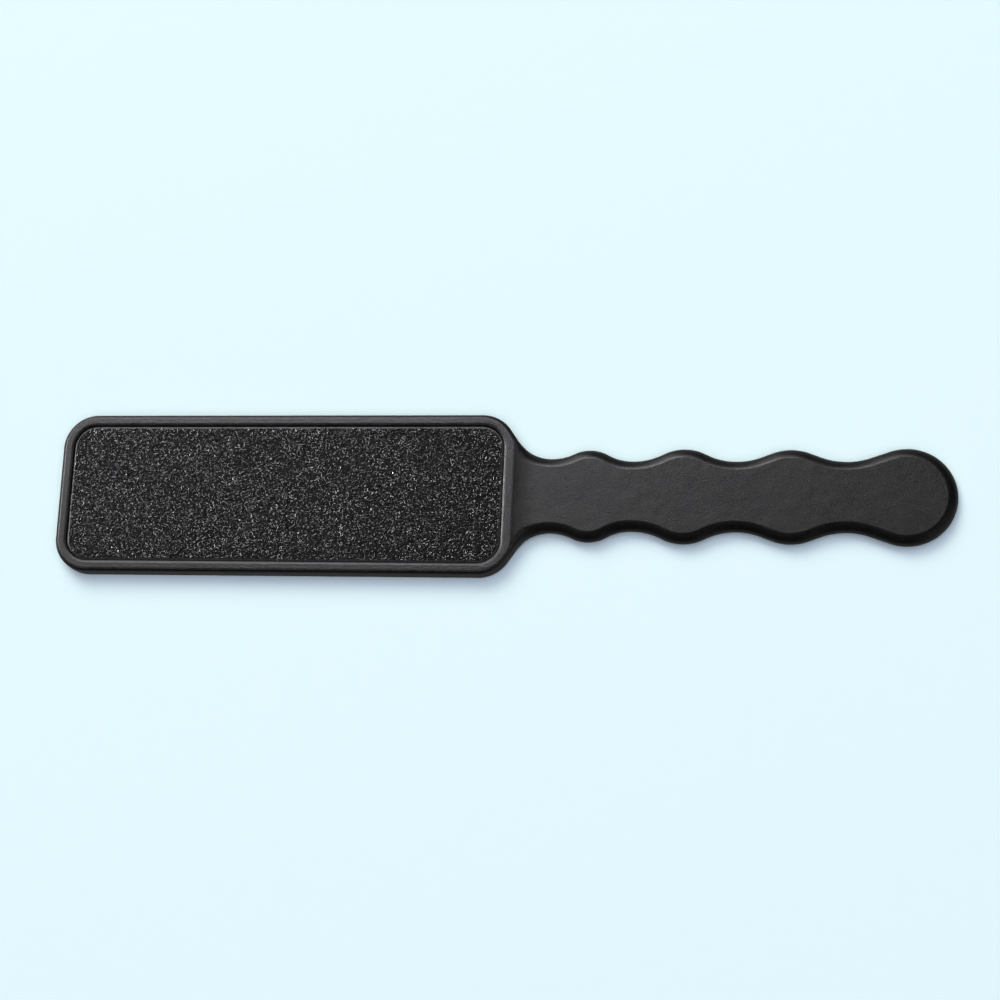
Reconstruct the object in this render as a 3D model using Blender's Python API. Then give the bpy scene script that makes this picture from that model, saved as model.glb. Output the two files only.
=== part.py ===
"""Foot rasp: a moulded paddle whose head holds a coarse abrasive sheet in one face and a fine one in the other.

Metres, +Z up. X runs along the tool from the head to the handle's tip, Y across it. The origin is under the
middle of the tool, on the plane that it lies on, with the coarse face up.
"""

import math
import random

import bmesh
import bpy
from mathutils import Vector
from mathutils.geometry import delaunay_2d_cdt

# Paddle, seen from above
HEAD_LENGTH = 0.1300
HEAD_WIDTH = 0.0455
HEAD_CORNER_RADIUS = 0.0096
HANDLE_LENGTH = 0.1200
NECK_REACH = 0.0100  # from the head's end to the narrowest place of the neck
NECK_WIDTH = 0.0210
NECK_RADIUS = 0.0116

# Finger waves along the handle: the crests' widths go by the grip's, and every waist is alike
GRIP_WIDTH = 0.0270
WAIST_WIDTH = 0.0197
CREST_RADIUS = 0.0140
WAIST_RADIUS = 0.0195
CREST_PLACE_SHARES = (0.171, 0.388, 0.629)
CREST_WIDTH_SHARES = (0.960, 0.985, 0.975)
WAIST_PLACE_SHARES = (0.270, 0.505, 0.753)

# Thicknesses and edges of the paddle
WEB_THICKNESS = 0.0010  # between the two recesses
HANDLE_THICKNESS = 0.0044
EDGE_LAND = 0.0005  # flat band round the side, where the mould's halves meet
HANDLE_EDGE_WIDTH = 0.0028  # how far in the handle's soft edge reaches, seen from above
HEAD_EDGE_ROUND = 0.0009
SHOULDER_REACH = 0.0045  # from the head's outline, where its edge has turned into the handle's
RIM_SLOPE = 0.0030  # fall from the rim to the handle's face, along the middle

# Rim and recess in each face of the head
RIM_WIDTH = 0.0025  # from the outside to the lip
LIP_CHAMFER = 0.0005
RECESS_DRAFT = 0.0001
RIM_STAND = 0.0002  # rim above the highest grain

# Abrasive sheets: an adhesive film, a backing and a coat of grains in resin, on each face
SHEET_CLEARANCE = 0.0003  # round a sheet
SEAT_GAP = 0.0003  # under each layer
ADHESIVE_THICKNESS = 0.00015
ADHESIVE_MARGIN = 0.0008  # the film stops short of the backing's edge
BACKING_THICKNESS = 0.00035
RESIN_THICKNESS = 0.00015
COARSE_GRAIN_HEIGHT = 0.00045
COARSE_GRAIN_PITCH = 0.00130
FINE_GRAIN_HEIGHT = 0.00018
FINE_GRAIN_PITCH = 0.0020
GRAIN_STRAY_SHARE = 0.38  # how far a grain strays from its place, as a share of the pitch
GRAIN_TIPS_SHARE = 0.42  # how many of the facets' corners are grain tips
TIP_HEIGHT_SHARES = (0.65, 1.00)
DIP_HEIGHT_SHARES = (0.00, 0.35)

# Steps that round shapes are cut into
ARC_STEP = math.radians(9)
SHARP_ANGLE = math.radians(20)
EDGE_STEPS = 4
STRAIGHT_STEPS = 4
TOUCH = 0.000001  # points nearer than this are one

# Sizes that follow from those above
QUARTER_TURN = math.pi / 2
HEAD_BACK = -(HEAD_LENGTH + HANDLE_LENGTH) / 2
HEAD_FRONT = HEAD_BACK + HEAD_LENGTH
TIP = HEAD_FRONT + HANDLE_LENGTH
GRAIN_HEIGHT = max(COARSE_GRAIN_HEIGHT, FINE_GRAIN_HEIGHT)
SHEET_THICKNESS = ADHESIVE_THICKNESS + BACKING_THICKNESS + RESIN_THICKNESS + 3 * SEAT_GAP
RECESS_DEPTH = SHEET_THICKNESS + GRAIN_HEIGHT + RIM_STAND
HEAD_THICKNESS = WEB_THICKNESS + 2 * RECESS_DEPTH
RECESS_FLOOR = WEB_THICKNESS / 2
SHEET_INSET = RIM_WIDTH + LIP_CHAMFER + RECESS_DRAFT + SHEET_CLEARANCE


def turned(angle):
    """A unit vector that points along +Y at angle zero and turns towards +X."""
    return Vector((math.sin(angle), math.cos(angle)))


def arc(centre, radius, first, last):
    """(point, outward normal) along an arc, which a negative radius makes hollow."""
    steps = max(2, math.ceil(abs(last - first) / ARC_STEP))
    normals = [turned(first + (last - first) * step / steps) for step in range(steps + 1)]
    return [(centre + normal * radius, normal) for normal in normals]


def fall(crest, waist, crest_radius, waist_radius):
    """The edge from a crest down to a waist at larger x: a round arc, a straight and a hollow arc.

    Radii too large for the place shrink alike until the arcs touch and the straight is gone.
    """
    run, drop = waist.x - crest.x, crest.y - waist.y
    largest = (run**2 + drop**2) / (2 * drop)
    fit = min(1, largest / (crest_radius + waist_radius))
    crest_radius, waist_radius = crest_radius * fit, waist_radius * fit
    both = crest_radius + waist_radius
    straight = math.sqrt(max(run**2 + (both - drop) ** 2 - both**2, 0))
    slope = math.atan2(run, both - drop) - math.atan2(straight, both)
    down = arc(crest - Vector((0, crest_radius)), crest_radius, 0, slope)
    out = arc(waist + Vector((0, waist_radius)), -waist_radius, slope, 0)
    (start, normal), (end, _) = down[-1], out[0]
    if straight < TOUCH:
        return down + out[1:]
    shares = [step / STRAIGHT_STEPS for step in range(1, STRAIGHT_STEPS)]
    return down + [(start.lerp(end, share), normal) for share in shares] + out


def rise(waist, crest, crest_radius, waist_radius):
    """The edge from a waist up to a crest at larger x: a fall seen from its other end."""
    flip = Vector((-1, 1))
    path = fall(crest * flip, waist * flip, crest_radius, waist_radius)
    return [(point * flip, normal * flip) for point, normal in reversed(path)]


def corner_centre():
    """Centre of the head's corner arc at its front end, on the +Y side."""
    return Vector((HEAD_FRONT - HEAD_CORNER_RADIUS, HEAD_WIDTH / 2 - HEAD_CORNER_RADIUS))


def back_corner():
    """The arc round the head's back corner on the +Y side."""
    centre = Vector((HEAD_BACK + HEAD_CORNER_RADIUS, corner_centre().y))
    return arc(centre, HEAD_CORNER_RADIUS, -QUARTER_TURN, 0)


def shoulder():
    """The edge from the head's front corner to the narrowest place of the neck."""
    crest = corner_centre() + Vector((0, HEAD_CORNER_RADIUS))
    neck = Vector((HEAD_FRONT + NECK_REACH, NECK_WIDTH / 2))
    return fall(crest, neck, HEAD_CORNER_RADIUS, NECK_RADIUS)


def handle_edge():
    """The finger waves from the neck to the round end, and the end itself."""
    bulb = GRIP_WIDTH / 2
    turn = shoulder()[-1][0]
    path = []
    crests = list(zip(CREST_PLACE_SHARES, CREST_WIDTH_SHARES, strict=True))
    for (place, width), waist_place in zip(crests, WAIST_PLACE_SHARES, strict=True):
        crest = Vector((HEAD_FRONT + HANDLE_LENGTH * place, bulb * width))
        waist = Vector((HEAD_FRONT + HANDLE_LENGTH * waist_place, WAIST_WIDTH / 2))
        path += rise(turn, crest, CREST_RADIUS, WAIST_RADIUS)[1:]
        path += fall(crest, waist, CREST_RADIUS, WAIST_RADIUS)[1:]
        turn = waist
    path += rise(turn, Vector((TIP - bulb, bulb)), CREST_RADIUS, WAIST_RADIUS)[1:]
    return path + arc(Vector((TIP - bulb, 0)), bulb, 0, QUARTER_TURN)[1:]


def both_sides(path):
    """The +Y path followed by its image on the -Y side, back to the start, with a point on the axis taken once."""
    flip = Vector((1, -1))
    image = [(point * flip, normal * flip) for point, normal in reversed(path)]
    return path + [pair for pair in image if pair[0].y < -TOUCH]


def head_frame():
    """(point, normal) round the head alone, a rectangle with round corners, in step with the paddle's outline."""
    leave = shoulder_start()
    front = arc(corner_centre(), HEAD_CORNER_RADIUS, math.atan2(*leave[-1][1]), QUARTER_TURN)[1:]
    return both_sides(back_corner() + leave + front)


def shoulder_start():
    """The part of the shoulder that still lies on the head's corner arc."""
    return [pair for pair in shoulder() if beyond_head(pair[0]) < TOUCH]


def beyond_head(point, inset=0.0):
    """How far a point lies outside the head's outline drawn in by an inset, and negative inside it."""
    middle = (HEAD_BACK + HEAD_FRONT) / 2
    radius = HEAD_CORNER_RADIUS - inset
    x = abs(point.x - middle) - (HEAD_LENGTH / 2 - HEAD_CORNER_RADIUS)
    y = abs(point.y) - (HEAD_WIDTH / 2 - HEAD_CORNER_RADIUS)
    return math.hypot(max(x, 0), max(y, 0)) + min(max(x, y), 0) - radius


def drawn_in(frame, inset):
    """The frame's points moved inwards by an inset."""
    return [point - normal * inset for point, normal in frame]


def blend(low, high, share):
    return low + (high - low) * share


def eased(share):
    """A share that starts and ends without a corner."""
    return share * share * (3 - 2 * share)


def loop_of(mesh, points, height):
    return [mesh.verts.new((point.x, point.y, height)) for point in points]


def bridge(mesh, lower, upper, closed=True):
    """Quads between two rows of vertices in step with each other."""
    count = len(lower) if closed else len(lower) - 1
    for here in range(count):
        there = (here + 1) % len(lower)
        mesh.faces.new((lower[here], lower[there], upper[there], upper[here]))


def edge_rings(mesh, outline):
    """Rings that carry the paddle's side and its rounded edge from the mid-plane up to the face."""
    shares = [min(max(beyond_head(point) / SHOULDER_REACH, 0), 1) for point, _ in outline]
    rings = [loop_of(mesh, [point for point, _ in outline], 0)]
    for step in range(EDGE_STEPS + 1):
        angle = QUARTER_TURN * step / EDGE_STEPS
        ring = []
        for (point, normal), share in zip(outline, shares, strict=True):
            soft = eased(share)
            top = blend(HEAD_THICKNESS, HANDLE_THICKNESS, soft) / 2
            width = blend(HEAD_EDGE_ROUND, HANDLE_EDGE_WIDTH, soft)
            depth = blend(HEAD_EDGE_ROUND, (HANDLE_THICKNESS - EDGE_LAND) / 2, soft)
            place = point - normal * width * (1 - math.cos(angle))
            ring.append(mesh.verts.new((*place, top - depth * (1 - math.sin(angle)))))
        rings.append(ring)
    for lower, upper in zip(rings, rings[1:]):
        bridge(mesh, lower, upper)
    return rings[-1], shares


def rim_slope(mesh, top, shares, first):
    """Rows across the neck that fall from the rim to the handle's face; returns the first and the last.

    Each row is the rim's front end, stretched to end on the two edge vertices that it joins.
    """
    last = next(place for place, share in enumerate(shares) if share >= 1)
    corner = arc(corner_centre(), HEAD_CORNER_RADIUS - HEAD_EDGE_ROUND, math.atan2(*first[1]), QUARTER_TURN)
    base = [point for point, _ in corner]
    base += [point * Vector((1, -1)) for point in reversed(base)]
    start, front = base[0], HEAD_FRONT - HEAD_EDGE_ROUND
    rows = []
    for place in range(first[0], last + 1):
        begin, end = top[place], top[-1 - place]
        middle = front + RIM_SLOPE * shares[place]
        row = [begin]
        for point in base[1:-1]:
            along = (point.x - start.x) / (front - start.x)
            x = blend(begin.co.x, middle, along)
            row.append(mesh.verts.new((x, begin.co.y * point.y / start.y, begin.co.z)))
        rows.append([*row, end])
    for lower, upper in zip(rows, rows[1:]):
        bridge(mesh, lower, upper, closed=False)
    return rows[0], rows[-1], last


def recess(mesh, rim, frame):
    """The rim's flat, its chamfered lip, the recess wall and the floor, inside the rim's outer edge."""
    top = HEAD_THICKNESS / 2
    steps = (
        (RIM_WIDTH, top),
        (RIM_WIDTH + LIP_CHAMFER, top - LIP_CHAMFER),
        (RIM_WIDTH + LIP_CHAMFER + RECESS_DRAFT, RECESS_FLOOR),
    )
    for inset, height in steps:
        inner = loop_of(mesh, drawn_in(frame, inset), height)
        bridge(mesh, rim, inner)
        rim = inner
    mesh.faces.new(rim)


def paddle():
    """The one-piece moulding: the half above the mid-plane, mirrored in it."""
    mesh = bmesh.new()
    outline = both_sides(back_corner() + shoulder() + handle_edge())
    top, shares = edge_rings(mesh, outline)
    leave = len(back_corner()) + len(shoulder_start()) - 1
    first, last, end = rim_slope(mesh, top, shares, (leave, outline[leave][1]))
    recess(mesh, top[: leave + 1] + first[1:-1] + top[-1 - leave :], head_frame())
    mesh.faces.new(top[end : len(top) - end] + last[-2:0:-1])
    bmesh.ops.mirror(mesh, geom=[*mesh.verts, *mesh.edges, *mesh.faces], axis="Z", merge_dist=TOUCH)
    return mesh


def sheet(inset, thickness):
    """A flat sheet in the shape of the recess."""
    mesh = bmesh.new()
    face = mesh.faces.new(loop_of(mesh, drawn_in(head_frame(), inset), 0))
    raised = bmesh.ops.extrude_face_region(mesh, geom=[face])["geom"]
    raised_verts = [item for item in raised if isinstance(item, bmesh.types.BMVert)]
    bmesh.ops.translate(mesh, verts=raised_verts, vec=(0, 0, thickness))
    return mesh


def close_set(points, pitch):
    """The closed line through the points, with more of them wherever two lie over a pitch apart."""
    filled = []
    for start, end in zip(points, points[1:] + points[:1]):
        steps = max(1, round((end - start).length / pitch))
        filled += [start.lerp(end, step / steps) for step in range(steps)]
    return filled


def grains(inset, grain_height, pitch, seed):
    """A coat of grains in resin: points strewn over the sheet, joined into facets at uneven heights."""
    dice = random.Random(seed)
    border = close_set(drawn_in(head_frame(), inset), pitch)
    places = list(border)
    for column in range(round(HEAD_LENGTH / pitch)):
        for row in range(round(HEAD_WIDTH / pitch)):
            stray = Vector((dice.uniform(-1, 1), dice.uniform(-1, 1))) * GRAIN_STRAY_SHARE
            cell = Vector((column + 1 / 2, row + 1 / 2)) + stray
            place = Vector((HEAD_BACK, -HEAD_WIDTH / 2)) + cell * pitch
            if beyond_head(place, inset) < -pitch / 2:
                places.append(place)
    cells = delaunay_2d_cdt(places, [], [list(range(len(border)))], 1, TOUCH)
    mesh = bmesh.new()
    surface = []
    for place, source in zip(cells[0], cells[3], strict=True):
        on_border = bool(source) and source[0] < len(border)
        shares = TIP_HEIGHT_SHARES if dice.random() < GRAIN_TIPS_SHARE else DIP_HEIGHT_SHARES
        height = 0 if on_border else grain_height * dice.uniform(*shares)
        surface.append(mesh.verts.new((place.x, place.y, RESIN_THICKNESS + height)))
    for cell in cells[2]:
        mesh.faces.new([surface[corner] for corner in cell])
    open_edges = [edge for edge in mesh.edges if edge.is_boundary]
    skirt = bmesh.ops.extrude_edge_only(mesh, edges=open_edges)["geom"]
    for vertex in skirt:
        if isinstance(vertex, bmesh.types.BMVert):
            vertex.co.z = 0
    lowest = [edge for edge in skirt if isinstance(edge, bmesh.types.BMEdge) and edge.is_boundary]
    bmesh.ops.contextual_create(mesh, geom=lowest)
    return mesh


def material(name, colour, roughness, metallic=0.0):
    made = bpy.data.materials.new(name)
    made.use_nodes = True
    shader = made.node_tree.nodes["Principled BSDF"]
    shader.inputs["Base Color"].default_value = (*colour, 1)
    shader.inputs["Roughness"].default_value = roughness
    shader.inputs["Metallic"].default_value = metallic
    return made


def add_part(name, mesh, finish, base, height=0.0, faces_down=False):
    """Turns a mesh into a named object at a height above the mid-plane, or below it if it faces down."""
    if faces_down:
        bmesh.ops.scale(mesh, verts=mesh.verts, vec=(1, 1, -1))
    bmesh.ops.recalc_face_normals(mesh, faces=mesh.faces)
    data = bpy.data.meshes.new(name)
    mesh.to_mesh(data)
    mesh.free()
    data.shade_smooth()
    data.set_sharp_from_angle(angle=SHARP_ANGLE)
    data.materials.append(finish)
    part = bpy.data.objects.new(name, data)
    bpy.context.scene.collection.objects.link(part)
    part.parent = base
    part.location.z = -height if faces_down else height
    return part


def add_sheet(side, base, finishes, grain_height, pitch, seed, faces_down):
    """The three layers bonded into one face of the head, from its recess floor outwards."""
    adhesive_inset = SHEET_INSET + ADHESIVE_MARGIN
    height = RECESS_FLOOR + SEAT_GAP
    layer = sheet(adhesive_inset, ADHESIVE_THICKNESS)
    add_part(f"{side}_adhesive", layer, finishes["adhesive"], base, height, faces_down)
    height += ADHESIVE_THICKNESS + SEAT_GAP
    layer = sheet(SHEET_INSET, BACKING_THICKNESS)
    add_part(f"{side}_backing", layer, finishes["backing"], base, height, faces_down)
    height += BACKING_THICKNESS + SEAT_GAP
    layer = grains(SHEET_INSET, grain_height, pitch, seed)
    add_part(f"{side}_grit", layer, finishes["grit"], base, height, faces_down)


def clear_scene():
    for leftover in list(bpy.data.objects):
        bpy.data.objects.remove(leftover, do_unlink=True)


def main():
    clear_scene()
    base = bpy.data.objects.new("foot_rasp", None)
    bpy.context.scene.collection.objects.link(base)
    base.location.z = HEAD_THICKNESS / 2
    finishes = {
        "adhesive": material("bonding_film", (0.42, 0.38, 0.28), 0.5),
        "backing": material("backing_cloth", (0.05, 0.045, 0.04), 0.9),
        "grit": material("black_grit", (0.012, 0.012, 0.013), 0.35),
    }
    body_finish = material("black_plastic", (0.032, 0.032, 0.035), 0.42)
    add_part("paddle_body", paddle(), body_finish, base)
    add_sheet("coarse", base, finishes, COARSE_GRAIN_HEIGHT, COARSE_GRAIN_PITCH, 7, False)
    add_sheet("fine", base, finishes, FINE_GRAIN_HEIGHT, FINE_GRAIN_PITCH, 11, True)


main()
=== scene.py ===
"""Looks of the foot rasp: a black moulded paddle with a sheet of grit bonded into each face of its head.

Metres. X runs from the head to the handle's tip, Y across the tool and Z up, with the coarse face up.
"""

import math
import random

import bmesh
import bpy
from mathutils import Matrix, Vector


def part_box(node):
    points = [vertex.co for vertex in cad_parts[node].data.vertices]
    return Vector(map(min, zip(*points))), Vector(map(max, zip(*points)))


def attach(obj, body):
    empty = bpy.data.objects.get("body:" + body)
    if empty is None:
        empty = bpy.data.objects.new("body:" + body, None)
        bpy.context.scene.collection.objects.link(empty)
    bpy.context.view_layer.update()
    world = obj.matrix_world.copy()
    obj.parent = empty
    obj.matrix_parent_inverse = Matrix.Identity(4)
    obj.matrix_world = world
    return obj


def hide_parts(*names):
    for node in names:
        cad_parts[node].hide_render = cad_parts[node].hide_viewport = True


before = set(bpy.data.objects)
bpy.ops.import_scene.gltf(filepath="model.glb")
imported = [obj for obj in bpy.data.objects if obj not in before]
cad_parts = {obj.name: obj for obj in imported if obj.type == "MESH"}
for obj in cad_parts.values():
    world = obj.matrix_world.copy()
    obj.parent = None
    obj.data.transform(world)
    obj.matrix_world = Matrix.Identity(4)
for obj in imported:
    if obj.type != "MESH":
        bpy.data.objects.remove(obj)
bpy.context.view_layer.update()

MM = 0.001
X_AXIS, Y_AXIS, Z_AXIS = Vector((1, 0, 0)), Vector((0, 1, 0)), Vector((0, 0, 1))
OTHER_SIDE = Vector((1, -1, 1))  # times a place, gives the place opposite it across the tool
QUARTER_TURN = math.pi / 2
TOUCH = 0.001 * MM  # points nearer than this are one

# Paddle, seen from above
HEAD_LENGTH = 130 * MM
HEAD_WIDTH = 45.5 * MM
HEAD_CORNER_RADIUS = 9.6 * MM
HANDLE_LENGTH = 120 * MM
NECK_REACH = 10 * MM  # from the head's end to the narrowest place of the neck
NECK_WIDTH = 21 * MM
NECK_RADIUS = 11.6 * MM
GRIP_WIDTH = 27 * MM
WAIST_WIDTH = 19.7 * MM
CREST_RADIUS = 14 * MM
WAIST_RADIUS = 19.5 * MM
CREST_PLACE_SHARES = (0.171, 0.388, 0.629)
CREST_WIDTH_SHARES = (0.960, 0.985, 0.975)
WAIST_PLACE_SHARES = (0.270, 0.505, 0.753)
HEAD_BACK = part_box("paddle_body")[0].x
HEAD_FRONT = HEAD_BACK + HEAD_LENGTH
HEAD_MIDDLE = (HEAD_BACK + HEAD_FRONT) / 2
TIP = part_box("paddle_body")[1].x

# Heights and edges of the paddle: heights are above its mid-plane, widths are seen from above
MID_PLANE = sum(corner.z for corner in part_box("paddle_body")) / 2
HEAD_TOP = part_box("paddle_body")[1].z - MID_PLANE
HANDLE_TOP = 2.2 * MM
HEAD_EDGE_WIDTH = 1.2 * MM
HEAD_EDGE_DEPTH = 0.9 * MM
HEAD_EDGE_POWER = 1.15  # where 1 gives a quarter of an ellipse and 2 a straight bevel
HANDLE_EDGE_WIDTH = 2.8 * MM
HANDLE_EDGE_DEPTH = 1.95 * MM
HANDLE_EDGE_POWER = 1.28
SHOULDER_REACH = 4.5 * MM  # from the head's outline, where its edge has turned into the handle's
NECK_CREASE = 0.5 * MM  # from the head's outline inwards, where the rim starts to fall
NECK_FALL = 6.5 * MM
SLOPE_CUT = 0.45 * MM
PARTING_DEPTH = 0.05 * MM
PARTING_HEIGHT = 0.07 * MM

# Rim and recess in each face of the head
RIM_WIDTH = 2.42 * MM
LIP_WIDTH = 0.82 * MM
LIP_DEPTH = 0.4 * MM
LIP_SHARES = (  # of the lip's width, of its depth, and of the full lightening: partly abrasion, partly painted highlight
    (0.05, 0.01, 0.1),
    (0.46, 0.18, 0.3),
    (0.63, 0.29, 0.3),
    (0.83, 0.47, 0.3),
    (0.90, 0.58, 0.1),
    (0.96, 0.80, 0),
    (1, 1, 0),
)
RECESS_DRAFT = 0.1 * MM
WEB_THICKNESS = 1 * MM

# Steps and angles of the round shapes
ARC_STEP = math.radians(3)
STRAIGHT_STEP = 1.2 * MM
EDGE_STEPS = 12
HIGHLIGHT_ANGLE = math.radians(70)  # round the head's edge, where a painted highlight is laid, scuffed like abrasion
CORNER_SEGMENTS = 16
SMOOTH_ANGLE = math.radians(32)

# Coats of grit: each stands on its cloth, and its heights are counted from its foot outwards
SHEET_INSET = 3.38 * MM
CLOTH_GAP = 0.04 * MM
COAT_BORDER = 0.55 * MM
COAT_DROP = 0.2 * MM
COAT_SHARES = ((0, 0), (0.06, 0.5), (0.18, 0.68), (0.8, 0.93), (1, 1))  # of the border's width and climb
COARSE_GRIT = {
    "foot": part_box("coarse_backing")[1].z + CLOTH_GAP,
    "outwards": 1,
    "bed": 0.52 * MM,
    "low": 0.56 * MM,
    "peak": 0.98 * MM,
    "margin": 0.5 * MM,
    "pitch": 0.61 * MM,
    "stray_share": 0.36,
    "size": 0.56 * MM,
    "crest_shares": (0.62, 0.14),
    "base_shares": (0.75, 0.42),
    "uneven_share": 0.05,
    "corners": 4,
    "lean": 0.1,
    "seed": 5,
}
FINE_GRIT = {
    "foot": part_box("fine_backing")[0].z - CLOTH_GAP,
    "outwards": -1,
    "bed": 0.44 * MM,
    "low": 0.46 * MM,
    "peak": 0.61 * MM,
    "margin": 0.4 * MM,
    "pitch": 0.48 * MM,
    "stray_share": 0.4,
    "size": 0.42 * MM,
    "crest_shares": (0.45, 0.25),
    "base_shares": (0.6, 0.45),
    "uneven_share": 0.08,
    "corners": 3,
    "lean": 0.12,
    "seed": 9,
}
CRYSTAL_KINDS = 60
CRYSTAL_SIZE_SHARES = (0.7, 1.3)
CORNER_REACH_SHARES = (0.75, 1.25)
CORNER_STRAY_SHARE = 0.3
COMMON_HEIGHT_SHARE = 0.7  # of the way from low to peak, where most crystals end
ROW_SHARE = 0.866  # of the pitch, between the rows of a hexagonal grid
GRAIN_BATCH = 120

# Plastic: its patterns, and the depths of the bumps that they make
GRAIN, GRAIN_DEPTH = {"cell": 0.36 * MM, "detail": 1, "rough": 0.6}, 0.029 * MM
RUBS, RUB_DEPTH = {"cell": 0.6 * MM}, 0.06 * MM
SINKS, SINK_DEPTH = {"cell": 4.5 * MM, "detail": 1}, 0.05 * MM
FLECKS = {"cell": 0.3 * MM, "detail": 1, "rough": 0.6}
SCUFFS = {"cell": 0.55 * MM, "detail": 4, "rough": 0.65}
PATCHES = {"cell": 9 * MM, "detail": 3}
RIM_TOP_HEIGHTS = (HEAD_TOP - 0.09 * MM, HEAD_TOP - 0.01 * MM)
PLASTIC_DARK = (0.0004, 0.0004, 0.0005, 1)
PLASTIC_FLECKED = (0.008, 0.0078, 0.0083, 1)
# the rim's top lightened: partly abrasion, partly painted sheen
PLASTIC_RUBBED_SHEEN = (0.022, 0.0217, 0.0224, 1)
# edges and lips lightened: painted highlight, scuffed like abrasion
PLASTIC_WORN_HIGHLIGHT = (0.03, 0.0295, 0.031, 1)
PLASTIC_ROUGHNESS = (0.335, 0.395)
GRAIN_ROUGHNESS = (-0.03, 0.03)  # added to the plastic's own

# Crystals and resin
DUST, DUST_DEPTH = {"cell": 0.18 * MM}, 0.01 * MM
CRYSTAL_DARK = (0.001, 0.001, 0.0012, 1)
CRYSTAL_DUSTY = (0.008, 0.0077, 0.008, 1)
CRYSTAL_ROUGHNESS = (0.27, 0.44)
CRYSTAL_IOR = 2.4
BORDER_LUMPS, BORDER_DEPTH = {"cell": 0.55 * MM, "detail": 3, "rough": 0.6}, 0.05 * MM
BORDER_DARK = (0.008, 0.0079, 0.0083, 1)
BORDER_GREYED = (0.03, 0.0295, 0.031, 1)
BORDER_ROUGHNESS = (0.27, 0.36)
BORDER_SPECULAR = 0.32
BED_LUMPS, BED_DEPTH = {"cell": 0.4 * MM, "detail": 3, "rough": 0.6}, 0.1 * MM
BED_DARK = (0.001, 0.001, 0.0011, 1)
BED_PALE = (0.005, 0.0048, 0.005, 1)
BED_ROUGHNESS = (0.5, 0.7)
BED_SPECULAR = 0.14

# Cloth and adhesive film
COARSE_THREAD, FINE_THREAD = 0.6 * MM, 0.35 * MM
THREAD_WAVER, THREAD_DEPTH = {"Distortion": 0.6, "Detail": 1.0, "Detail_Scale": 2.0}, 0.05 * MM
WAVE_BANDS = 3.2  # in one cell of a wave texture
FUZZ, FUZZ_DEPTH = {"detail": 3, "rough": 0.6}, 0.02 * MM
FIBRES = 3  # side by side in a thread
CLOTH_BETWEEN_THREADS = (0.012, 0.010, 0.008, 1)
CLOTH_ON_THREADS = (0.055, 0.045, 0.034, 1)
CLOTH_ROUGHNESS = (0.55, 0.8)
STREAKS, STREAK_DEPTH = {"cell": 2.5 * MM, "detail": 3, "rough": 0.55}, 0.03 * MM
STREAK_STRETCH = (0.3, 1, 1)
PITS, PIT_DEPTH = {"cell": 0.4 * MM}, 0.01 * MM
FILM_THICK = (0.16, 0.115, 0.05, 1)
FILM_THIN = (0.3, 0.23, 0.12, 1)
FILM_ROUGHNESS = (0.25, 0.45)

# Ranges that patterns are mapped from and to
WHOLE = (0, 1)
NOISE_MIDDLE = (0.3, 0.7)  # where most values of a noise lie
FLECK_RANGE = (0.45, 0.7)
# noise range of the rim's lightening, which is partly painted sheen
RUB_SHEEN_RANGE, RUB_SHEEN_STRENGTH = (0.42, 0.62), (0, 1.4)
# noise range of the painted highlight on the edges and lips
WORN_HIGHLIGHT_RANGE, WORN_HIGHLIGHT_STRENGTH = (0.4, 0.66), (0.1, 1.6)
SHEEN_ACROSS = (0.2, 1)  # from the near side of the head to the far one: painted sheen, the far rim lighter as the light falls there

# Camera
CAMERA_ELEVATION = math.radians(73.0)
CAMERA_AZIMUTH = math.radians(31.78)
CAMERA_ROLL = math.radians(-30.41)
CAMERA_AIM = Vector((0.852, -1.106, 2.7)) * MM
CAMERA_DISTANCE = 655.9 * MM
CAMERA_LENS = 85.67
CAMERA_CLIP = (0.01, 50)

# Floor and surroundings
FLOOR_REACH = 3
FLOOR_COLOUR = (0.777, 0.954, 0.984, 1)
FLOOR_ROUGHNESS = 0.9
ROOM_LIGHT = 0.008
GROUND_LIGHT = 0.48
GROUND_SHADE = 0.25  # of the ground's light, right under the tool
HORIZON_HEIGHTS = (-0.12, 0.18)  # from the ground's light to the room's, as the Z of a direction
SHADE_HEIGHTS = (-0.95, -0.3)  # from the shaded ground to the open one
WHITE = (1, 1, 1)

# Soft boxes that only the gloss shows, and soft boxes that light the floor without showing in the gloss
GLOSS_BOXES = {
    "window": {"place": (-1.166, 2.639, 4.0), "size": 2.4, "power": 110, "colour": (0.99, 0.985, 1.03)},
    "side": {"place": (-2.236, 0.697, 1.761), "size": 0.6, "power": 43},
    "reflector": {"place": (-1.64, 2.25, 1.25), "size": 2.4, "power": 28},
    "fill": {"place": (2.09, -1.2, 0.97), "size": 3.2, "power": 5.5},
}
FLOOR_BOXES = {
    "key": {"place": (-1.08, 2.43, 2.95), "size": 2.9, "power": 104.5, "colour": (1.02, 1.03, 0.885)},
    "ceiling": {"place": (0.45, -0.6, 4), "size": 5.6, "power": 134, "colour": (0.985, 0.98, 1.13)},
}


# Chains of edges

def arc_on(mesh, end, centre, turn):
    """Carries a chain on round a centre by a turn, anticlockwise when positive; returns its new end."""
    steps = max(2, math.ceil(abs(turn) / ARC_STEP))
    spun = bmesh.ops.spin(mesh, geom=[end], cent=centre, axis=Z_AXIS, angle=turn, steps=steps)
    return spun["geom_last"][0]


def line_on(mesh, end, goal):
    """Carries a chain on in a straight line to a goal; returns its new end."""
    if (goal - end.co).length < TOUCH:
        return end
    steps = max(1, round((goal - end.co).length / STRAIGHT_STEP))
    step = (goal - end.co) / steps
    for _ in range(steps):
        end = bmesh.ops.extrude_vert_indiv(mesh, verts=[end])["verts"][0]
        bmesh.ops.translate(mesh, verts=[end], vec=step)
    return end


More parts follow.
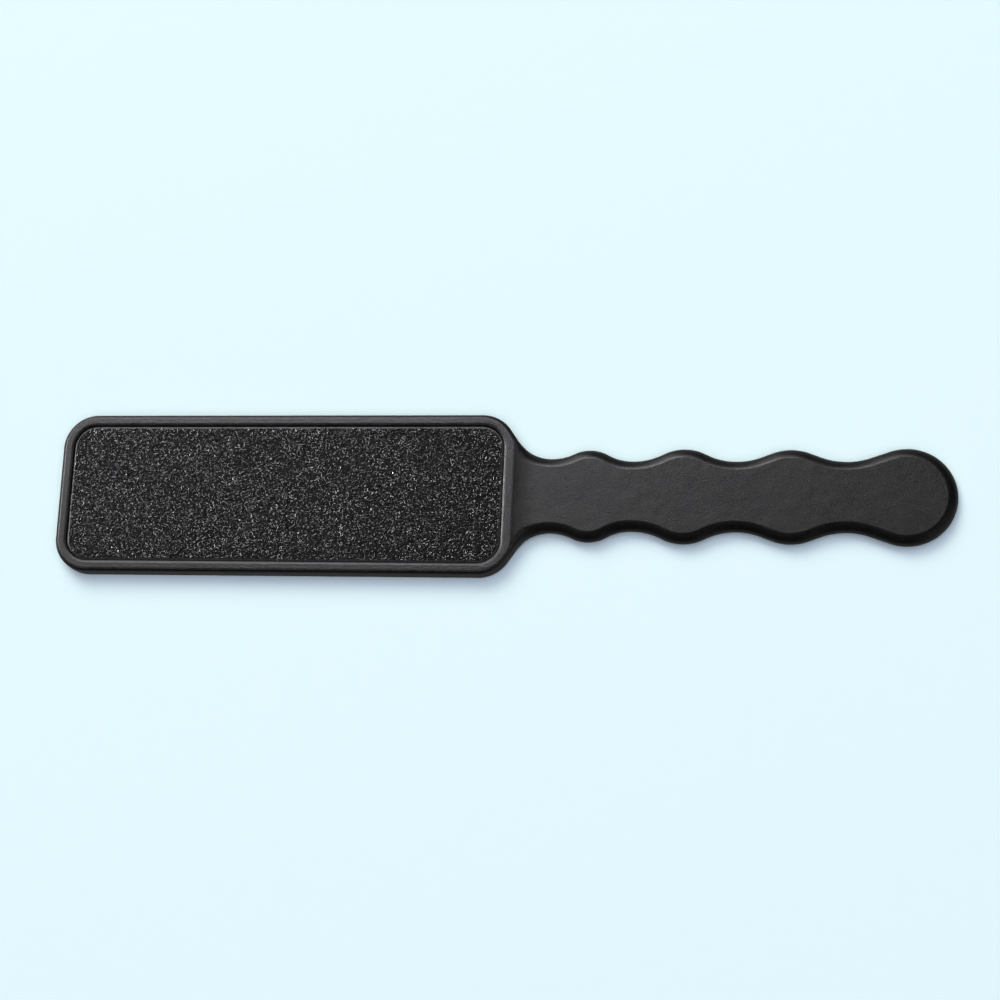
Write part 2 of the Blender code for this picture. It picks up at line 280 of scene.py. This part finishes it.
def wave_fit(crest, waist, crest_radius, waist_radius):
    """Radii of a crest and a waist with a shared tangent, and its slope; radii too large shrink alike."""
    run, drop = abs(waist.x - crest.x), crest.y - waist.y
    fit = min(1, (run**2 + drop**2) / (2 * drop) / (crest_radius + waist_radius))
    crest_radius, waist_radius = crest_radius * fit, waist_radius * fit
    both = crest_radius + waist_radius
    straight = math.sqrt(max(run**2 + (both - drop) ** 2 - both**2, 0))
    return crest_radius, waist_radius, math.atan2(run, both - drop) - math.atan2(straight, both)


def beside(centre, radius, angle):
    """The point of a circle whose outward normal is an angle away from +Y, towards +X."""
    return centre + Vector((math.sin(angle), math.cos(angle), 0)) * radius


def fall_on(mesh, end, crest, waist, crest_radius, waist_radius):
    """Carries a chain on from a crest down to a waist at larger x."""
    crest_radius, waist_radius, slope = wave_fit(crest, waist, crest_radius, waist_radius)
    end = arc_on(mesh, end, crest - Y_AXIS * crest_radius, -slope)
    hollow = waist + Y_AXIS * waist_radius
    end = line_on(mesh, end, beside(hollow, -waist_radius, slope))
    return arc_on(mesh, end, hollow, slope)


def rise_on(mesh, end, waist, crest, crest_radius, waist_radius):
    """Carries a chain on from a waist up to a crest at larger x."""
    crest_radius, waist_radius, slope = wave_fit(crest, waist, crest_radius, waist_radius)
    end = arc_on(mesh, end, waist + Y_AXIS * waist_radius, slope)
    round_centre = crest - Y_AXIS * crest_radius
    end = line_on(mesh, end, beside(round_centre, crest_radius, -slope))
    return arc_on(mesh, end, round_centre, -slope)


def corner_centre():
    """Centre of the head's corner arc at its front end, on the +Y side."""
    return Vector((HEAD_FRONT - HEAD_CORNER_RADIUS, HEAD_WIDTH / 2 - HEAD_CORNER_RADIUS, 0))


def paddle_outline(mesh):
    """The paddle's outline as one flat face: its +Y side drawn from the back to the tip, and mirrored."""
    back_centre = Vector((HEAD_BACK + HEAD_CORNER_RADIUS, corner_centre().y, 0))
    end = mesh.verts.new((HEAD_BACK, 0, 0))
    end = line_on(mesh, end, back_centre - X_AXIS * HEAD_CORNER_RADIUS)
    end = arc_on(mesh, end, back_centre, -QUARTER_TURN)
    crest = corner_centre() + Y_AXIS * HEAD_CORNER_RADIUS
    end = line_on(mesh, end, crest)
    waist = Vector((HEAD_FRONT + NECK_REACH, NECK_WIDTH / 2, 0))
    end = fall_on(mesh, end, crest, waist, HEAD_CORNER_RADIUS, NECK_RADIUS)
    bulb = GRIP_WIDTH / 2
    waves = zip(CREST_PLACE_SHARES, CREST_WIDTH_SHARES, WAIST_PLACE_SHARES, strict=True)
    for crest_place, crest_width, waist_place in waves:
        crest = Vector((HEAD_FRONT + HANDLE_LENGTH * crest_place, bulb * crest_width, 0))
        end = rise_on(mesh, end, waist, crest, CREST_RADIUS, WAIST_RADIUS)
        waist = Vector((HEAD_FRONT + HANDLE_LENGTH * waist_place, WAIST_WIDTH / 2, 0))
        end = fall_on(mesh, end, crest, waist, CREST_RADIUS, WAIST_RADIUS)
    end = rise_on(mesh, end, waist, Vector((TIP - bulb, bulb, 0)), CREST_RADIUS, WAIST_RADIUS)
    arc_on(mesh, end, Vector((TIP - bulb, 0, 0)), -QUARTER_TURN)
    bmesh.ops.mirror(mesh, geom=[*mesh.verts, *mesh.edges], axis="Y", merge_dist=TOUCH)
    bmesh.ops.remove_doubles(mesh, verts=mesh.verts, dist=TOUCH)
    return bmesh.ops.contextual_create(mesh, geom=mesh.edges[:])["faces"][0]


# Shares and walls

def blend(low, high, share):
    """A value between two others."""
    return low + (high - low) * share


def clamped(share):
    """A share kept between 0 and 1."""
    return min(max(share, 0), 1)


def eased(share):
    """A share that starts and ends without a corner."""
    return share * share * (3 - 2 * share)


def faces_in(geom):
    """The faces among what an operator made."""
    return [item for item in geom if isinstance(item, bmesh.types.BMFace)]


def inward(corners):
    """Unit vectors that point into a flat face from its corners."""
    ahead, behind = corners[1:] + corners[:1], corners[-1:] + corners[:-1]
    middle = sum(corners, Vector()) / len(corners)
    chords = [(after - before).normalized() for after, before in zip(ahead, behind, strict=True)]
    turn = sum((place - middle).cross(chord).z for place, chord in zip(corners, chords, strict=True))
    return [Z_AXIS.cross(chord) * math.copysign(1, turn) for chord in chords]


def drawn_in(corners, inwards, reach, rise):
    """Corners moved inwards by a reach and up by a rise."""
    pairs = zip(corners, inwards, strict=True)
    return [corner + towards * reach + Z_AXIS * rise for corner, towards in pairs]


def raised(mesh, face, places, keep=False):
    """Draws a wall from a face's edges to new places and closes it there; the old face goes, unless kept."""
    made = bmesh.ops.extrude_face_region(mesh, geom=[face])["geom"]
    if not keep:
        bmesh.ops.delete(mesh, geom=[face], context="FACES_ONLY")
    face = faces_in(made)[0]
    for vertex, place in zip(face.verts, places, strict=True):
        vertex.co = place
    return face


# The paddle

def beyond_head(place):
    """How far a place lies outside the head's outline, and negative inside it."""
    x = abs(place.x - HEAD_MIDDLE) - (HEAD_LENGTH / 2 - HEAD_CORNER_RADIUS)
    y = abs(place.y) - (HEAD_WIDTH / 2 - HEAD_CORNER_RADIUS)
    return math.hypot(max(x, 0), max(y, 0)) + min(max(x, y), 0) - HEAD_CORNER_RADIUS


def face_height(place):
    """Height of the upper face: the rim ends in a crease and runs out softly into the handle."""
    left = 1 - clamped((beyond_head(place) + NECK_CREASE) / NECK_FALL)
    return min(blend(HANDLE_TOP, HEAD_TOP, left * left), HEAD_TOP)


def wear_and_highlight_of(mesh):
    """The layer that says how strongly each corner of the moulding is lightened: partly abrasion, partly
    painted highlight.
    """
    return mesh.verts.layers.float.get("wear_and_highlight") or mesh.verts.layers.float.new("wear_and_highlight")


def round_edge(mesh, face):
    """Carries the outline up the paddle's side and round its edge; returns the face inside it."""
    wear_and_highlight = wear_and_highlight_of(mesh)
    outline = [vertex.co.copy() for vertex in face.verts]
    inwards = inward(outline)
    face = raised(mesh, face, drawn_in(outline, inwards, 0, PARTING_HEIGHT))
    for step in range(EDGE_STEPS + 1):
        angle = QUARTER_TURN * step / EDGE_STEPS
        places = []
        for place, towards in zip(outline, inwards, strict=True):
            soft = eased(clamped(beyond_head(place) / SHOULDER_REACH))
            width = blend(HEAD_EDGE_WIDTH, HANDLE_EDGE_WIDTH, soft)
            depth = blend(HEAD_EDGE_DEPTH, HANDLE_EDGE_DEPTH, soft)
            power = blend(HEAD_EDGE_POWER, HANDLE_EDGE_POWER, soft)
            flat = place + towards * width * (1 - clamped(math.cos(angle)) ** power)
            places.append(flat + Z_AXIS * (face_height(flat) - depth * (1 - math.sin(angle) ** power)))
        face = raised(mesh, face, places)
        # The ring nearest this angle carries the painted highlight, full on the head and fading out into the
        # handle.
        highlighted = abs(angle - HIGHLIGHT_ANGLE) < QUARTER_TURN / EDGE_STEPS
        for vertex in face.verts:
            vertex[wear_and_highlight] = 1 - clamped(beyond_head(vertex.co) / SHOULDER_REACH) if highlighted else 0
    return face


def split_at_neck(mesh, face):
    """Cuts the upper face along the front of the head's rim; returns the head's part and the handle's."""
    centre, radius = corner_centre(), HEAD_CORNER_RADIUS - HEAD_EDGE_WIDTH
    far_side = [vertex for vertex in face.verts if vertex.co.y > 0]
    on_head = [vertex for vertex in far_side if beyond_head(vertex.co) < TOUCH - HEAD_EDGE_WIDTH]
    leave = max(on_head, key=lambda vertex: vertex.co.x)
    arrive = min(face.verts, key=lambda vertex: (vertex.co - leave.co * OTHER_SIDE).length)
    reach = leave.co - centre
    start = math.atan2(reach.x, reach.y)
    steps = max(2, math.ceil((QUARTER_TURN - start) / ARC_STEP))
    angles = [blend(start, QUARTER_TURN, step / steps) for step in range(1, steps + 1)]
    corner = [beside(centre, radius, angle) + Z_AXIS * HEAD_TOP for angle in angles]
    chain = corner + [place * OTHER_SIDE for place in reversed(corner)]
    other, _ = bmesh.utils.face_split(face, leave, arrive, coords=chain)
    return sorted((face, other), key=lambda part: part.calc_center_median().x)


def sink_recess(mesh, head):
    """The rim's flat, its rounded lip, the wall and the floor of the recess."""
    bmesh.ops.inset_region(mesh, faces=[head], thickness=RIM_WIDTH - HEAD_EDGE_WIDTH, use_even_offset=True)
    for vertex in head.verts:
        vertex.co.z = HEAD_TOP
    wear_and_highlight = wear_and_highlight_of(mesh)
    crest = [vertex.co.copy() for vertex in head.verts]
    inwards = inward(crest)
    # Each ring of the lip carries its listed share of the painted highlight.
    for in_share, down_share, highlighted in LIP_SHARES:
        head = raised(mesh, head, drawn_in(crest, inwards, LIP_WIDTH * in_share, -LIP_DEPTH * down_share))
        for vertex in head.verts:
            vertex[wear_and_highlight] = highlighted
    raised(mesh, head, drawn_in(crest, inwards, LIP_WIDTH + RECESS_DRAFT, WEB_THICKNESS / 2 - HEAD_TOP))


def cut_slope(mesh, handle):
    """Cuts the handle's face into small oblongs where it falls away from the rim, and sets their heights."""
    start, stop = HEAD_FRONT - HEAD_CORNER_RADIUS, HEAD_FRONT + NECK_FALL + 2 * SLOPE_CUT
    cuts = [(X_AXIS, start + SLOPE_CUT * step) for step in range(math.ceil((stop - start) / SLOPE_CUT))]
    rows = round(HEAD_WIDTH / 2 / SLOPE_CUT)
    cuts += [(Y_AXIS, SLOPE_CUT * 2 * row) for row in range(-rows // 2, rows // 2 + 1)]
    faces = [handle]
    for normal, place in cuts:
        near = [face for face in faces if normal == X_AXIS or face.calc_center_median().x < stop]
        geom = set(near)
        for face in near:
            geom.update(face.verts, face.edges)
        made = bmesh.ops.bisect_plane(mesh, geom=list(geom), dist=TOUCH,
                                      plane_co=normal * place, plane_no=normal)
        faces = [face for face in {*faces, *faces_in(made["geom"])} if face.is_valid]
    for vertex in {vertex for face in faces for vertex in face.verts}:
        vertex.co.z = face_height(vertex.co)


def paddle_moulding():
    """The whole paddle: its upper half, mirrored in the mid-plane, with the mould's parting line between."""
    mesh = bmesh.new()
    face = paddle_outline(mesh)
    outline = [vertex.co.copy() for vertex in face.verts]
    for vertex, towards in zip(face.verts, inward(outline), strict=True):
        vertex.co += towards * PARTING_DEPTH
    face = round_edge(mesh, raised(mesh, face, outline))
    head, handle = split_at_neck(mesh, face)
    sink_recess(mesh, head)
    cut_slope(mesh, handle)
    bmesh.ops.mirror(mesh, geom=[*mesh.verts, *mesh.edges, *mesh.faces], axis="Z", merge_dist=TOUCH)
    bmesh.ops.recalc_face_normals(mesh, faces=mesh.faces)
    bmesh.ops.translate(mesh, verts=mesh.verts, vec=Z_AXIS * MID_PLANE)
    return mesh


# Resin and grit

def rounded_sheet(mesh, inset, height):
    """One flat face in the shape of the head, drawn in by an inset."""
    made = bmesh.ops.create_grid(mesh, x_segments=1, y_segments=1, size=1 / 2)["verts"]
    bmesh.ops.scale(mesh, verts=made, vec=(HEAD_LENGTH - 2 * inset, HEAD_WIDTH - 2 * inset, 1))
    bmesh.ops.translate(mesh, verts=made, vec=(HEAD_MIDDLE, 0, height))
    bmesh.ops.bevel(mesh, geom=made, offset=HEAD_CORNER_RADIUS - inset, segments=CORNER_SEGMENTS, profile=0.5,
                    affect="VERTICES", material=-1)
    (sheet,) = mesh.faces
    return sheet


def resin_coat(grit):
    """The resin that holds the grit: a thin slab whose cut border falls away in a soft round."""
    mesh = bmesh.new()
    face = rounded_sheet(mesh, SHEET_INSET, grit["foot"])
    outline = [vertex.co.copy() for vertex in face.verts]
    inwards = inward(outline)
    for row, (in_share, up_share) in enumerate(COAT_SHARES):
        rise = grit["outwards"] * (grit["bed"] - COAT_DROP * (1 - up_share))
        places = drawn_in(outline, inwards, COAT_BORDER * in_share, rise)
        face = raised(mesh, face, places, keep=row == 0)
    face.material_index = 1
    bmesh.ops.recalc_face_normals(mesh, faces=mesh.faces)
    return mesh


def crystal_stock(grit, dice):
    """Crystals of unit size: hulls of a narrow uneven crest over a wider base."""
    levels = ((1 / 2, grit["crest_shares"], grit["uneven_share"]), (-1 / 2, grit["base_shares"], 0))
    stock = []
    for _ in range(CRYSTAL_KINDS):
        mesh = bmesh.new()
        for level, (long, wide), uneven in levels:
            for corner in range(grit["corners"]):
                stray = dice.uniform(-CORNER_STRAY_SHARE, CORNER_STRAY_SHARE)
                angle = math.tau * (corner + stray) / grit["corners"]
                reach = dice.uniform(*CORNER_REACH_SHARES)
                height = level + dice.gauss(0, uneven)
                mesh.verts.new((math.cos(angle) * long * reach, math.sin(angle) * wide * reach, height))
        hull = bmesh.ops.convex_hull(mesh, input=mesh.verts)
        inner = [item for item in hull["geom_interior"] if isinstance(item, bmesh.types.BMVert)]
        bmesh.ops.delete(mesh, geom=inner, context="VERTS")
        bmesh.ops.recalc_face_normals(mesh, faces=mesh.faces)
        data = bpy.data.meshes.new("crystal")
        mesh.to_mesh(data)
        mesh.free()
        stock.append(data)
    return stock


def strewn_places(grit, dice):
    """Places on a hexagonal grid, each a little astray, inside the sheet's outline."""
    pitch, stray, inset = grit["pitch"], grit["stray_share"], SHEET_INSET + grit["margin"]
    places = []
    for row in range(math.ceil(HEAD_WIDTH / (pitch * ROW_SHARE))):
        for column in range(math.ceil(HEAD_LENGTH / pitch)):
            x = HEAD_BACK + (column + row % 2 / 2 + dice.uniform(-stray, stray)) * pitch
            y = -HEAD_WIDTH / 2 + (row * ROW_SHARE + dice.uniform(-stray, stray)) * pitch
            place = Vector((x, y, 0))
            if beyond_head(place) < -inset:
                places.append(place)
    return places


def set_crystal(corners, place, grit, dice):
    """Turns, leans and sizes a crystal, and sets its crest at a height of its own above the coat's foot."""
    turn = (Matrix.Rotation(dice.uniform(0, math.tau), 3, "Z")
            @ Matrix.Rotation(dice.gauss(0, grit["lean"]), 3, "X")
            @ Matrix.Rotation(dice.gauss(0, grit["lean"]), 3, "Y"))
    turn *= grit["size"] * dice.uniform(*CRYSTAL_SIZE_SHARES)
    top = blend(grit["low"], grit["peak"], dice.triangular(0, 1, COMMON_HEIGHT_SHARE))
    for vertex in corners:
        vertex.co = turn @ vertex.co
    lowest, highest = min(vertex.co.z for vertex in corners), max(vertex.co.z for vertex in corners)
    squeeze = min(1, top / (highest - lowest))
    for vertex in corners:
        height = top - (highest - vertex.co.z) * squeeze
        vertex.co = (place.x + vertex.co.x, place.y + vertex.co.y, grit["foot"] + grit["outwards"] * height)


def grain_batch(places, stock, grit, dice):
    """Some of the crystals, as mesh data, with the number of faces of each."""
    chosen = [dice.choice(stock) for _ in places]
    mesh = bmesh.new()
    for data in chosen:
        mesh.from_mesh(data, face_normals=False, vertex_normals=False)
    mesh.verts.ensure_lookup_table()
    first = 0
    for place, data in zip(places, chosen, strict=True):
        last = first + len(data.vertices)
        set_crystal(mesh.verts[first:last], place, grit, dice)
        first = last
    batch = bpy.data.meshes.new("batch")
    mesh.to_mesh(batch)
    mesh.free()
    return batch, [len(data.polygons) for data in chosen]


def grain_field(grit):
    """A coat of crystals that stand out of their resin to uneven heights, each with a tone of its own."""
    dice = random.Random(grit["seed"])
    stock = crystal_stock(grit, dice)
    places = strewn_places(grit, dice)
    mesh = bmesh.new()
    counts = []
    for start in range(0, len(places), GRAIN_BATCH):
        batch, faces = grain_batch(places[start:start + GRAIN_BATCH], stock, grit, dice)
        mesh.from_mesh(batch, face_normals=False, vertex_normals=False)
        bpy.data.meshes.remove(batch)
        counts += faces
    for data in stock:
        bpy.data.meshes.remove(data)
    tone = mesh.faces.layers.float.new("tone")
    tones = [shade for count in counts for shade in [dice.random()] * count]
    for face, shade in zip(mesh.faces, tones, strict=True):
        face[tone] = shade
    if grit["outwards"] < 0:
        bmesh.ops.reverse_faces(mesh, faces=mesh.faces)
    return mesh


# Nodes of the finishes

def shader_of(name):
    """A new finish, with its node tree and its shader."""
    made = bpy.data.materials.new(name)
    made.use_nodes = True
    return made, made.node_tree, made.node_tree.nodes["Principled BSDF"]


def feed(tree, socket, value):
    """Links a socket to another node's output, or sets it to a plain value."""
    if isinstance(value, bpy.types.NodeSocket):
        tree.links.new(value, socket)
    else:
        socket.default_value = value


def node(tree, kind, settings=None, **inputs):
    """A new node with its settings, its inputs fed by name, with an underscore for each space."""
    made = tree.nodes.new(kind)
    for name, value in (settings or {}).items():
        setattr(made, name, value)
    for name, value in inputs.items():
        feed(tree, made.inputs[name.replace("_", " ")], value)
    return made


def own_places(tree):
    """Places on the tool, which its patterns are fixed to."""
    return node(tree, "ShaderNodeTexCoord").outputs["Object"]


def layer(tree, name):
    """A value that the mesh carries."""
    return node(tree, "ShaderNodeAttribute", {"attribute_name": name}).outputs["Fac"]


def ramp(tree, value, source, target=WHOLE):
    """Maps a value from one range to another, held at both ends."""
    made = node(tree, "ShaderNodeMapRange", Value=value, From_Min=source[0], From_Max=source[1],
                To_Min=target[0], To_Max=target[1])
    return made.outputs["Result"]


def maths(tree, operation, *values):
    """The outcome of a sum on one or two values."""
    made = node(tree, "ShaderNodeMath", {"operation": operation})
    for socket, value in zip(made.inputs, values):
        feed(tree, socket, value)
    return made.outputs["Value"]


def mixed(tree, share, low, high):
    """A colour between two others."""
    made = node(tree, "ShaderNodeMix", {"data_type": "RGBA"})
    sockets = [socket for socket in made.inputs if socket.enabled]
    for socket, value in zip(sockets, (share, low, high), strict=True):
        feed(tree, socket, value)
    return next(socket for socket in made.outputs if socket.enabled)


def noise(tree, where, cell, detail=2.0, rough=0.5):
    """A noise whose cells are about one size, in metres."""
    made = node(tree, "ShaderNodeTexNoise", Vector=where, Scale=1 / cell, Detail=detail, Roughness=rough)
    return made.outputs["Fac"]


def finished(tree, shader, colour, roughness, bumps):
    """Feeds a shader its colour, its roughness and its bumps, each a height from 0 to 1 with a depth."""
    feed(tree, shader.inputs["Base Color"], colour)
    feed(tree, shader.inputs["Roughness"], roughness)
    normal = None
    for height, depth in bumps:
        made = node(tree, "ShaderNodeBump", Strength=1.0, Distance=depth, Height=height)
        if normal:
            feed(tree, made.inputs["Normal"], normal)
        normal = made.outputs["Normal"]
    feed(tree, shader.inputs["Normal"], normal)


# Finishes

def black_plastic():
    """Black moulded plastic: a fine spark-eroded grain with flecks and slight sinks; the rim's top is
    lightened, partly as abrasion and partly as painted sheen that grows towards the far side, and the head's
    edge and lips carry a painted highlight, scuffed like abrasion.
    """
    made, tree, shader = shader_of("black_plastic")
    where = own_places(tree)
    axes = node(tree, "ShaderNodeSeparateXYZ", Vector=where).outputs
    off_middle = maths(tree, "ABSOLUTE", maths(tree, "SUBTRACT", axes["Z"], MID_PLANE))
    rim = ramp(tree, off_middle, RIM_TOP_HEIGHTS)
    # painted sheen: the rim lighter towards the far side, where the light falls
    across = ramp(tree, axes["Y"], (-HEAD_WIDTH / 2, HEAD_WIDTH / 2), SHEEN_ACROSS)
    rim_sheen = maths(tree, "MULTIPLY", rim, across)
    scuffs = noise(tree, where, **SCUFFS)
    rubbed_sheen = maths(tree, "MULTIPLY", rim_sheen, ramp(tree, scuffs, RUB_SHEEN_RANGE, RUB_SHEEN_STRENGTH))
    # painted highlight along the head's edge and lips, scuffed like abrasion
    worn_highlight = maths(tree, "MULTIPLY", layer(tree, "wear_and_highlight"), ramp(tree, scuffs, WORN_HIGHLIGHT_RANGE, WORN_HIGHLIGHT_STRENGTH))
    flecked = ramp(tree, noise(tree, where, **FLECKS), FLECK_RANGE)
    colour = mixed(tree, flecked, PLASTIC_DARK, PLASTIC_FLECKED)
    # the rim's top lightened, partly abrasion and partly painted sheen
    colour = mixed(tree, rubbed_sheen, colour, PLASTIC_RUBBED_SHEEN)
    colour = mixed(tree, worn_highlight, colour, PLASTIC_WORN_HIGHLIGHT)
    grain = noise(tree, where, **GRAIN)
    patches = ramp(tree, noise(tree, where, **PATCHES), NOISE_MIDDLE, PLASTIC_ROUGHNESS)
    roughness = maths(tree, "ADD", patches, ramp(tree, grain, NOISE_MIDDLE, GRAIN_ROUGHNESS))
    sinks = noise(tree, where, **SINKS)
    rubs = maths(tree, "MULTIPLY", rim, noise(tree, where, **RUBS))
    finished(tree, shader, colour, roughness, [(sinks, SINK_DEPTH), (rubs, RUB_DEPTH), (grain, GRAIN_DEPTH)])
    return made


def grit_crystal():
    """Dark mineral crystals with bright glassy facets; each has its own tone."""
    made, tree, shader = shader_of("grit_crystal")
    shader.inputs["IOR"].default_value = CRYSTAL_IOR
    tone = layer(tree, "tone")
    dust = noise(tree, own_places(tree), **DUST)
    colour = mixed(tree, maths(tree, "MULTIPLY", tone, dust), CRYSTAL_DARK, CRYSTAL_DUSTY)
    finished(tree, shader, colour, ramp(tree, tone, WHOLE, CRYSTAL_ROUGHNESS), [(dust, DUST_DEPTH)])
    return made


def resin_border():
    """The coat's cut border: bare black resin, glossier than between the grains and a little greyed."""
    made, tree, shader = shader_of("resin_border")
    shader.inputs["Specular IOR Level"].default_value = BORDER_SPECULAR
    lumps = noise(tree, own_places(tree), **BORDER_LUMPS)
    colour = mixed(tree, lumps, BORDER_DARK, BORDER_GREYED)
    finished(tree, shader, colour, ramp(tree, lumps, NOISE_MIDDLE, BORDER_ROUGHNESS), [(lumps, BORDER_DEPTH)])
    return made


def resin_bed():
    """Dull black resin between the grains, pulled up round their feet."""
    made, tree, shader = shader_of("resin_bed")
    shader.inputs["Specular IOR Level"].default_value = BED_SPECULAR
    lumps = noise(tree, own_places(tree), **BED_LUMPS)
    colour = mixed(tree, lumps, BED_DARK, BED_PALE)
    finished(tree, shader, colour, ramp(tree, lumps, NOISE_MIDDLE, BED_ROUGHNESS), [(lumps, BED_DEPTH)])
    return made


def woven_cloth(name, thread):
    """Stiff resin-soaked backing cloth: threads over and under, darker between them."""
    made, tree, shader = shader_of(name)
    where = own_places(tree)
    bands = []
    for axis in "XY":
        settings = {"wave_type": "BANDS", "wave_profile": "SIN", "bands_direction": axis}
        scale = 1 / (thread * WAVE_BANDS)
        bands.append(node(tree, "ShaderNodeTexWave", settings, Vector=where, Scale=scale, **THREAD_WAVER))
    weave = maths(tree, "MAXIMUM", *(band.outputs["Fac"] for band in bands))
    fuzz = noise(tree, where, thread / FIBRES, **FUZZ)
    # darker between the threads
    colour = mixed(tree, weave, CLOTH_BETWEEN_THREADS, CLOTH_ON_THREADS)
    roughness = ramp(tree, fuzz, NOISE_MIDDLE, CLOTH_ROUGHNESS)
    finished(tree, shader, colour, roughness, [(weave, THREAD_DEPTH), (fuzz, FUZZ_DEPTH)])
    return made


def bonding_film():
    """Pressure-bonded adhesive: a yellowish film with squeezed-out streaks."""
    made, tree, shader = shader_of("bonding_film")
    where = own_places(tree)
    drawn_out = node(tree, "ShaderNodeMapping", Vector=where, Scale=STREAK_STRETCH).outputs["Vector"]
    streaks = noise(tree, drawn_out, **STREAKS)
    pits = noise(tree, where, **PITS)
    colour = mixed(tree, streaks, FILM_THICK, FILM_THIN)
    roughness = ramp(tree, pits, NOISE_MIDDLE, FILM_ROUGHNESS)
    finished(tree, shader, colour, roughness, [(streaks, STREAK_DEPTH), (pits, PIT_DEPTH)])
    return made


def pale_floor():
    """Plain and pale, with no gloss."""
    made, _, shader = shader_of("pale_floor")
    shader.inputs["Base Color"].default_value = FLOOR_COLOUR
    shader.inputs["Roughness"].default_value = FLOOR_ROUGHNESS
    shader.inputs["Specular IOR Level"].default_value = 0
    return made


# Pieces

def shown(name, mesh, finishes):
    """Makes an object of a mesh, with its finishes, and shows it in the scene."""
    data = bpy.data.meshes.new(name)
    mesh.to_mesh(data)
    mesh.free()
    for finish in finishes:
        data.materials.append(finish)
    thing = bpy.data.objects.new(name, data)
    bpy.context.scene.collection.objects.link(thing)
    return thing


def piece(name, mesh, finishes, replaced=None):
    """Turns a mesh into a piece that rides with the tool."""
    thing = shown(name, mesh, finishes)
    if replaced:
        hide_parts(replaced)
    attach(thing, "root")
    return thing


def smooth(thing):
    """Shades a piece as smooth, but for its sharp edges."""
    thing.data.shade_smooth()
    thing.data.set_sharp_from_angle(angle=SMOOTH_ANGLE)
    return thing


def dress(node_name, finish):
    """Puts a finish on a CAD node that stays in sight."""
    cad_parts[node_name].material_slots[0].material = finish


# Camera, light and floor

def add_camera():
    """The camera that the photograph was taken with, as fitted to its outline."""
    data = bpy.data.cameras.new("camera")
    data.lens = CAMERA_LENS
    data.clip_start, data.clip_end = CAMERA_CLIP
    camera = bpy.data.objects.new("camera", data)
    bpy.context.scene.collection.objects.link(camera)
    flat = Vector((math.sin(CAMERA_AZIMUTH), -math.cos(CAMERA_AZIMUTH), 0))
    back = flat * math.cos(CAMERA_ELEVATION) + Z_AXIS * math.sin(CAMERA_ELEVATION)
    right = Vector((math.cos(CAMERA_AZIMUTH), math.sin(CAMERA_AZIMUTH), 0))
    roll = Matrix.Rotation(CAMERA_ROLL, 3, back)
    right = roll @ right
    place = Matrix((right, back.cross(right), back)).transposed().to_4x4()
    place.translation = CAMERA_AIM + back * CAMERA_DISTANCE
    camera.matrix_world = place
    bpy.context.scene.camera = camera


def add_surroundings():
    """A dark room over a pale ground, which is shaded right under the tool."""
    world = bpy.data.worlds.new("studio")
    world.use_nodes = True
    tree, background = world.node_tree, world.node_tree.nodes["Background"]
    towards = node(tree, "ShaderNodeTexCoord").outputs["Generated"]
    height = node(tree, "ShaderNodeSeparateXYZ", Vector=towards).outputs["Z"]
    horizon = ramp(tree, height, HORIZON_HEIGHTS, (GROUND_LIGHT, ROOM_LIGHT))
    shade = ramp(tree, height, SHADE_HEIGHTS, (GROUND_SHADE, 1))
    background.inputs["Color"].default_value = (*WHITE, 1)
    feed(tree, background.inputs["Strength"], maths(tree, "MULTIPLY", horizon, shade))
    bpy.context.scene.world = world


def add_soft_box(name, shows, place, size, power, colour=WHITE):
    """A round soft box that faces the tool, and shows in the gloss alone or lights without showing in it."""
    data = bpy.data.lights.new(name, "AREA")
    data.shape, data.size, data.energy, data.color = "DISK", size, power, colour
    lamp = bpy.data.objects.new(name, data)
    bpy.context.scene.collection.objects.link(lamp)
    lamp.location = place
    lamp.rotation_euler = lamp.location.to_track_quat("Z", "Y").to_euler()
    lamp.visible_diffuse, lamp.visible_glossy = not shows, shows


def add_floor():
    """A plain floor that the tool's gloss doesn't show, as the surroundings stand in for it there."""
    mesh = bmesh.new()
    bmesh.ops.create_grid(mesh, x_segments=1, y_segments=1, size=FLOOR_REACH)
    floor = shown("floor", mesh, [pale_floor()])
    floor.visible_glossy = False


# The tool in its studio

bpy.context.scene.view_settings.view_transform = "Standard"
add_camera()
add_surroundings()
for box_name, settings in GLOSS_BOXES.items():
    add_soft_box(box_name, True, **settings)
for box_name, settings in FLOOR_BOXES.items():
    add_soft_box(box_name, False, **settings)
add_floor()

paddle = piece("paddle_moulding", paddle_moulding(), [black_plastic()], "paddle_body")
even_normals = smooth(paddle).modifiers.new("even_normals", "WEIGHTED_NORMAL")
even_normals.keep_sharp = True

crystal, resins = grit_crystal(), (resin_border(), resin_bed())
smooth(piece("coarse_resin", resin_coat(COARSE_GRIT), resins, "coarse_grit"))
piece("coarse_grains", grain_field(COARSE_GRIT), [crystal])
smooth(piece("fine_resin", resin_coat(FINE_GRIT), resins, "fine_grit"))
piece("fine_grains", grain_field(FINE_GRIT), [crystal])

film = bonding_film()
dress("coarse_backing", woven_cloth("coarse_cloth", COARSE_THREAD))
dress("fine_backing", woven_cloth("fine_cloth", FINE_THREAD))
dress("coarse_adhesive", film)
dress("fine_adhesive", film)

bpy.context.view_layer.update()
